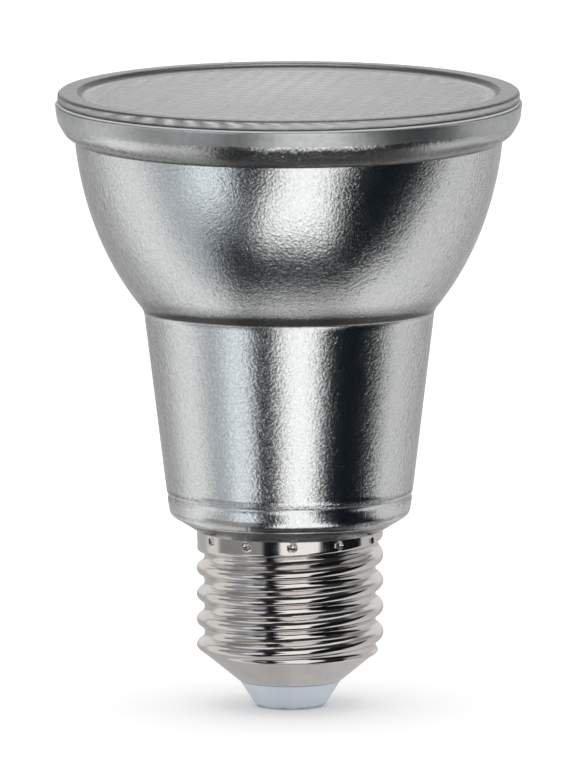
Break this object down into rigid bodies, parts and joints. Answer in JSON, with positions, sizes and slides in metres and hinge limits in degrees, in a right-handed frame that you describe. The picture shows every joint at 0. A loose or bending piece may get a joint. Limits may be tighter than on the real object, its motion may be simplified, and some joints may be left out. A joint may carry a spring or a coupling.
{
  "type": "reflector spotlight bulb",
  "caption": "Pressed-glass reflector spotlight bulb with a silvered bowl, a patterned front lens and a screw cap.",
  "frame": {"origin": "middle of the centre contact's flat bottom, which is the lowest point of the bulb", "axes": "+Z along the bulb's axis from the contact towards the lens"},
  "size_m": [0.0654, 0.0654, 0.0869],
  "materials": {
    "clear_glass": "polished pressed glass",
    "pale_silicone": "matte adhesive",
    "mirrored_glass": "textured pressed glass silvered on its inner face",
    "nickel_plate": "glossy nickel plate",
    "insulator_plastic": "satin moulded insulator",
    "contact_plate": "nickel plate",
    "aluminium": "cast and turned",
    "thermal_silicone": "soft grey sheet",
    "board_white": "white solder mask on an aluminium core",
    "chip_white": "white moulded package",
    "phosphor": "cast yellow silicone",
    "screw_steel": "zinc plated",
    "sleeve_plastic": "white flame-proof plastic",
    "board_green": "green solder mask on glass-fibre board",
    "ferrite": "dense sintered ferrite",
    "winding_tape": "yellow polyester tape",
    "can_sleeve": "dark shrink sleeve",
    "film_box": "moulded box",
    "chip_black": "black moulding",
    "resistor_body": "lacquered ceramic body",
    "lead_red": "insulated wire",
    "lead_black": "insulated wire",
    "lead_white": "insulated wire"
  },
  "bodies": {
    "root": {"front_lens": "clear_glass", "lens_seal": "pale_silicone", "glass_reflector": "mirrored_glass", "cap_shell": "nickel_plate", "cap_insulator": "insulator_plastic", "centre_contact": "contact_plate", "heat_sink": "aluminium", "thermal_pad": "thermal_silicone", "led_board": "board_white", "led_chips": "chip_white", "led_phosphor": "phosphor", "board_screws": "screw_steel", "driver_sleeve": "sleeve_plastic", "driver_board": "board_green", "transformer_core": "ferrite", "transformer_winding": "winding_tape", "smoothing_capacitor": "can_sleeve", "output_capacitor": "can_sleeve", "film_capacitor": "film_box", "bridge_rectifier": "chip_black", "driver_chip": "chip_black", "fuse_resistor": "resistor_body", "led_lead_positive": "lead_red", "led_lead_negative": "lead_black", "live_lead": "lead_red", "neutral_lead": "lead_white"}
  },
  "joints": []
}
